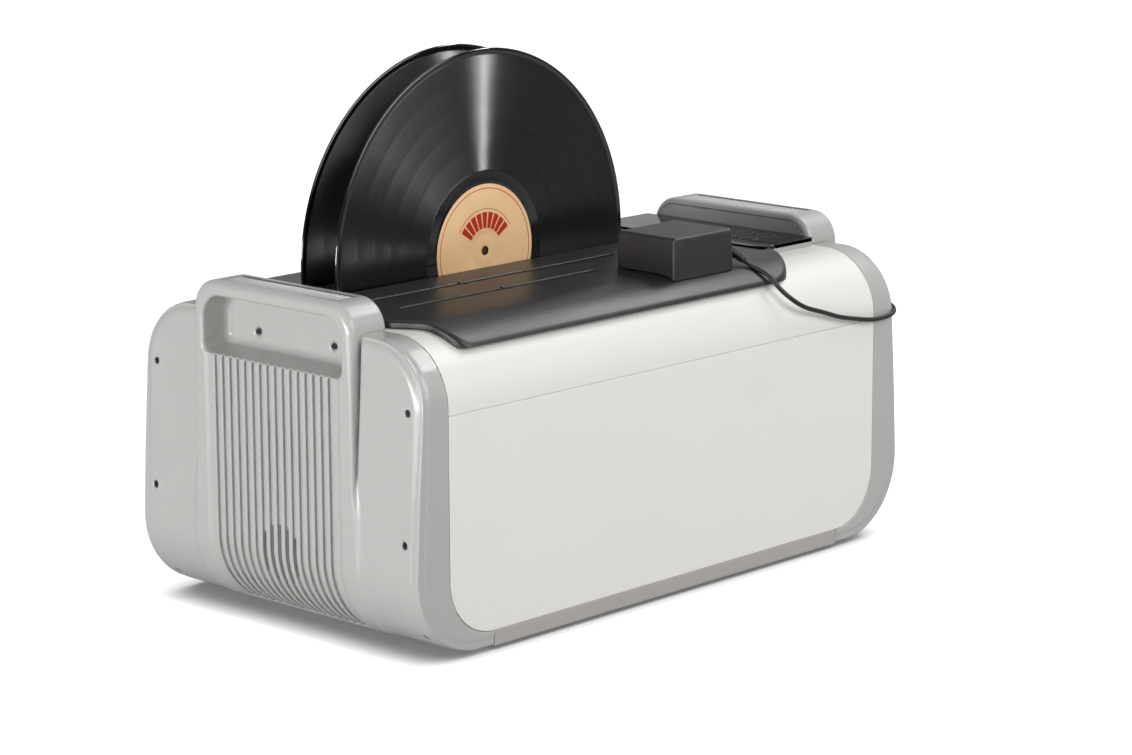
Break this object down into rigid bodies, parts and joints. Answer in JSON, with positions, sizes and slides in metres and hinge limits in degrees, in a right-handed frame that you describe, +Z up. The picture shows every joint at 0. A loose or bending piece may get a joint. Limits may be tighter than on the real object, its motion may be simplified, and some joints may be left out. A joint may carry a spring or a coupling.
{
  "type": "record cleaning machine",
  "caption": "Ultrasonic record cleaning machine: ivory housing with grey end caps and handles, steel bath, and a lift-off carrier whose driven rollers turn discs",
  "frame": {"origin": "on the table, under the middle of the housing", "axes": "+X along the machine towards the touch panel, +Y towards its back, +Z up"},
  "size_m": [0.5313, 0.4049, 0.3925],
  "materials": {
    "cap_grey": "satin silver-grey moulding",
    "foot_rubber": "matte",
    "housing_ivory": "smooth ivory moulding",
    "screw_steel": "dull steel",
    "sheet_steel": "plain sheet",
    "tank_steel": "brushed stainless steel",
    "transducer_metal": "turned",
    "heater_rubber": "matte",
    "valve_plastic": "moulded",
    "knob_red": "moulded",
    "panel_glass": "glossy black panel",
    "board_green": "lacquered",
    "fan_plastic": "moulded",
    "fitting_black": "moulded",
    "carrier_black": "fine grained black moulding",
    "plate_steel": "brushed sheet",
    "pulley_metal": "turned",
    "belt_rubber": "matte",
    "roller_rubber": "matte",
    "disc_vinyl": "grooved black",
    "label_tan": "printed paper",
    "cord_black": "matte"
  },
  "bodies": {
    "housing": {"base_tray": "cap_grey", "foot_front_left": "foot_rubber", "foot_front_right": "foot_rubber", "foot_back_left": "foot_rubber", "foot_back_right": "foot_rubber", "front_panel": "housing_ivory", "back_panel": "housing_ivory", "top_cover": "housing_ivory", "end_cap_left": "cap_grey", "end_cap_right": "cap_grey", "cap_screws_left": "screw_steel", "cap_screws_right": "screw_steel", "end_plate_left": "sheet_steel", "end_plate_right": "sheet_steel", "tank": "tank_steel", "transducers": "transducer_metal", "tank_heater": "heater_rubber", "drain_valve": "valve_plastic", "panel_bezel": "cap_grey", "touch_glass": "panel_glass", "control_board": "board_green", "generator_board": "board_green", "fan_frame": "fan_plastic", "power_inlet": "fitting_black", "switch_frame": "fitting_black"},
    "carrier": {"lid_shell": "carrier_black", "motor_box": "carrier_black", "gear_motor": "screw_steel", "dc_jack": "fitting_black", "dc_plug": "cord_black", "plate_front": "plate_steel", "plate_seven": "plate_steel", "plate_ten": "plate_steel", "plate_back": "plate_steel", "tie_rods": "plate_steel", "drive_belt": "belt_rubber", "cord": "cord_black", "cord_coil": "cord_black", "cord_adapter": "fitting_black"},
    "fan_rotor": {"fan_rotor": "fan_plastic"},
    "switch_rocker": {"switch_rocker": "knob_red"},
    "drain_knob": {"drain_knob": "knob_red"},
    "motor_pulley": {"motor_pulley": "pulley_metal"},
    "drive_twelve": {"drive_shaft_twelve": "pulley_metal", "drive_rollers_twelve": "roller_rubber"},
    "idler_twelve": {"idler_shaft_twelve": "pulley_metal", "idler_rollers_twelve": "roller_rubber"},
    "drive_ten": {"drive_shaft_ten": "pulley_metal"},
    "idler_ten": {"idler_shaft_ten": "pulley_metal"},
    "drive_seven": {"drive_shaft_seven": "pulley_metal"},
    "idler_seven": {"idler_shaft_seven": "pulley_metal"},
    "record_front": {"record_front": "disc_vinyl", "record_front_labels": "label_tan"},
    "record_rear": {"record_rear": "disc_vinyl", "record_rear_labels": "label_tan"}
  },
  "joints": [
    {"name": "carrier_lift", "type": "slide", "parent": "housing", "child": "carrier", "axis": [0, 0, 1], "range_m": [0, 0.16]},
    {"name": "record_front_spin", "type": "hinge", "parent": "carrier", "child": "record_front", "pos_m": [-0.0324, 0.01795, 0.242], "axis": [0, 1, 0], "continuous": true},
    {"name": "record_rear_spin", "type": "hinge", "parent": "carrier", "child": "record_rear", "pos_m": [-0.0324, 0.05385, 0.242], "axis": [0, 1, 0], "continuous": true},
    {"name": "motor_spin", "type": "hinge", "parent": "carrier", "child": "motor_pulley", "pos_m": [0.063, 0, 0.2433], "axis": [0, 1, 0], "continuous": true},
    {"name": "drive_twelve_spin", "type": "hinge", "parent": "carrier", "child": "drive_twelve", "pos_m": [0.0596, 0, 0.11012], "axis": [0, 1, 0], "continuous": true},
    {"name": "idler_twelve_spin", "type": "hinge", "parent": "carrier", "child": "idler_twelve", "pos_m": [-0.1244, 0, 0.11012], "axis": [0, 1, 0], "continuous": true},
    {"name": "drive_ten_spin", "type": "hinge", "parent": "carrier", "child": "drive_ten", "pos_m": [0.0266, 0, 0.13278], "axis": [0, 1, 0], "continuous": true},
    {"name": "idler_ten_spin", "type": "hinge", "parent": "carrier", "child": "idler_ten", "pos_m": [-0.1474, 0, 0.13278], "axis": [0, 1, 0], "continuous": true},
    {"name": "drive_seven_spin", "type": "hinge", "parent": "carrier", "child": "drive_seven", "pos_m": [-0.0184, 0, 0.16759], "axis": [0, 1, 0], "continuous": true},
    {"name": "idler_seven_spin", "type": "hinge", "parent": "carrier", "child": "idler_seven", "pos_m": [-0.1564, 0, 0.16759], "axis": [0, 1, 0], "continuous": true},
    {"name": "fan_spin", "type": "hinge", "parent": "housing", "child": "fan_rotor", "pos_m": [-0.2205, -0.0071, 0.0825], "axis": [1, 0, 0], "continuous": true},
    {"name": "power_switch", "type": "hinge", "parent": "housing", "child": "switch_rocker", "pos_m": [0.1605, 0.1333, 0.0545], "axis": [1, 0, 0], "range_deg": [-12, 0]},
    {"name": "drain_turn", "type": "hinge", "parent": "housing", "child": "drain_knob", "pos_m": [-0.1535, 0.1193, 0.0505], "axis": [0, 1, 0], "range_deg": [0, 90]}
  ],
  "couplings": [
    {"joint": "record_rear_spin", "follows": "record_front_spin", "ratio": 1},
    {"joint": "motor_spin", "follows": "record_front_spin", "ratio": -15.05},
    {"joint": "drive_twelve_spin", "follows": "record_front_spin", "ratio": -15.05},
    {"joint": "idler_twelve_spin", "follows": "record_front_spin", "ratio": -15.05},
    {"joint": "drive_ten_spin", "follows": "record_front_spin", "ratio": -15.05},
    {"joint": "drive_seven_spin", "follows": "record_front_spin", "ratio": -15.05}
  ]
}
